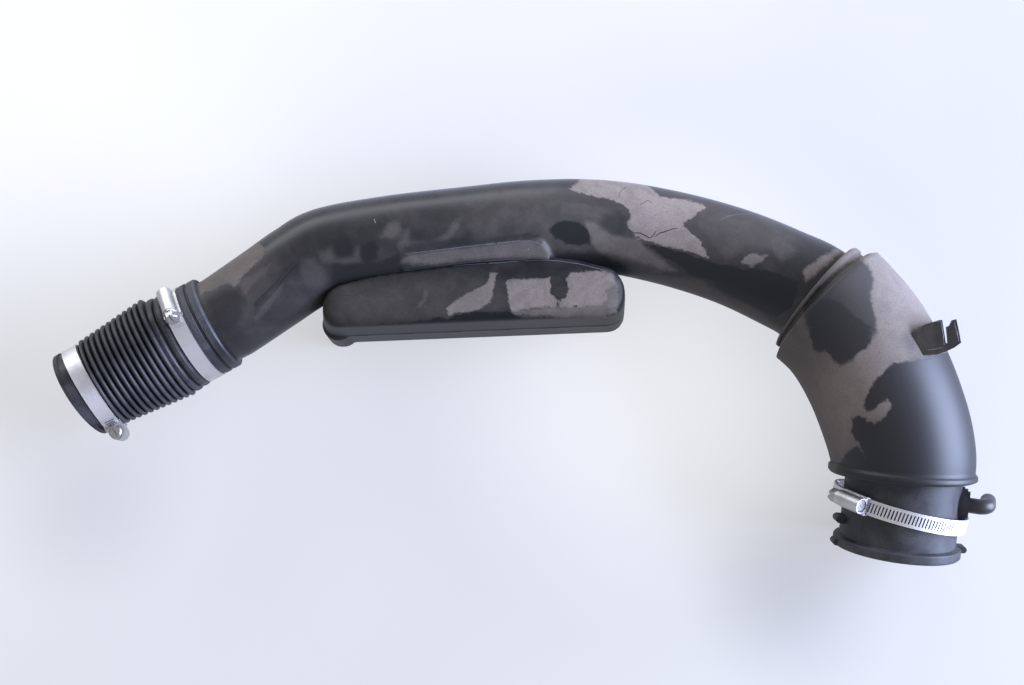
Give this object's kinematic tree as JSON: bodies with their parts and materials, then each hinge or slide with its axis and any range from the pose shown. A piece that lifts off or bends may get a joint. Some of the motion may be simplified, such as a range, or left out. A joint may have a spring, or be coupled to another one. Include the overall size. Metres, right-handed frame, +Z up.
{
  "type": "air intake duct",
  "caption": "Moulded engine air intake duct with a resonator chamber on its side, a bellows hose at its thin end, and an elbow with a rubber cuff at its thick end; worm clamps hold the hoses.",
  "frame": {"origin": "under the middle of the whole object, on the surface it lies on", "axes": "+X along the object from the bellows hose to the elbow, +Y across it from the chamber to the pipe, +Z up"},
  "size_m": [0.5505, 0.232, 0.1],
  "materials": {
    "duct_plastic": "moulded, dusty with patches of dried dirt",
    "chamber_plastic": "moulded, dusty",
    "elbow_plastic": "moulded, dusty with rubbed patches",
    "hose_rubber": "moulded rubber, a little shiny",
    "cuff_rubber": "moulded rubber, dusty",
    "fitting_plastic": "moulded",
    "clip_plastic": "moulded",
    "band_zinc": "zinc plated",
    "screw_zinc": "zinc plated, a little dull"
  },
  "bodies": {
    "duct": {"main_duct": "duct_plastic", "resonator_chamber": "chamber_plastic", "outlet_elbow": "elbow_plastic", "bellows_hose": "hose_rubber", "filter_cuff": "cuff_rubber", "breather_elbow": "fitting_plastic", "pipe_clip": "clip_plastic", "end_clamp_band": "band_zinc", "end_clamp_housing": "band_zinc", "duct_clamp_band": "band_zinc", "duct_clamp_housing": "band_zinc", "filter_clamp_band": "band_zinc", "filter_clamp_housing": "band_zinc"},
    "end_screw": {"end_clamp_screw": "screw_zinc"},
    "duct_screw": {"duct_clamp_screw": "screw_zinc"},
    "filter_screw": {"filter_clamp_screw": "screw_zinc"}
  },
  "joints": [
    {"name": "end_screw_turn", "type": "hinge", "parent": "duct", "child": "end_screw", "pos_m": [-0.23771, -0.03798, 0.03492], "axis": [0.1139, -0.0531, 0.9921], "continuous": true},
    {"name": "duct_screw_turn", "type": "hinge", "parent": "duct", "child": "duct_screw", "pos_m": [-0.20309, 0.03145, 0.06632], "axis": [0.3828, -0.7963, 0.4683], "continuous": true},
    {"name": "filter_screw_turn", "type": "hinge", "parent": "duct", "child": "filter_screw", "pos_m": [0.18484, -0.07889, 0.06123], "axis": [-0.5387, 0.3509, -0.7659], "continuous": true}
  ]
}
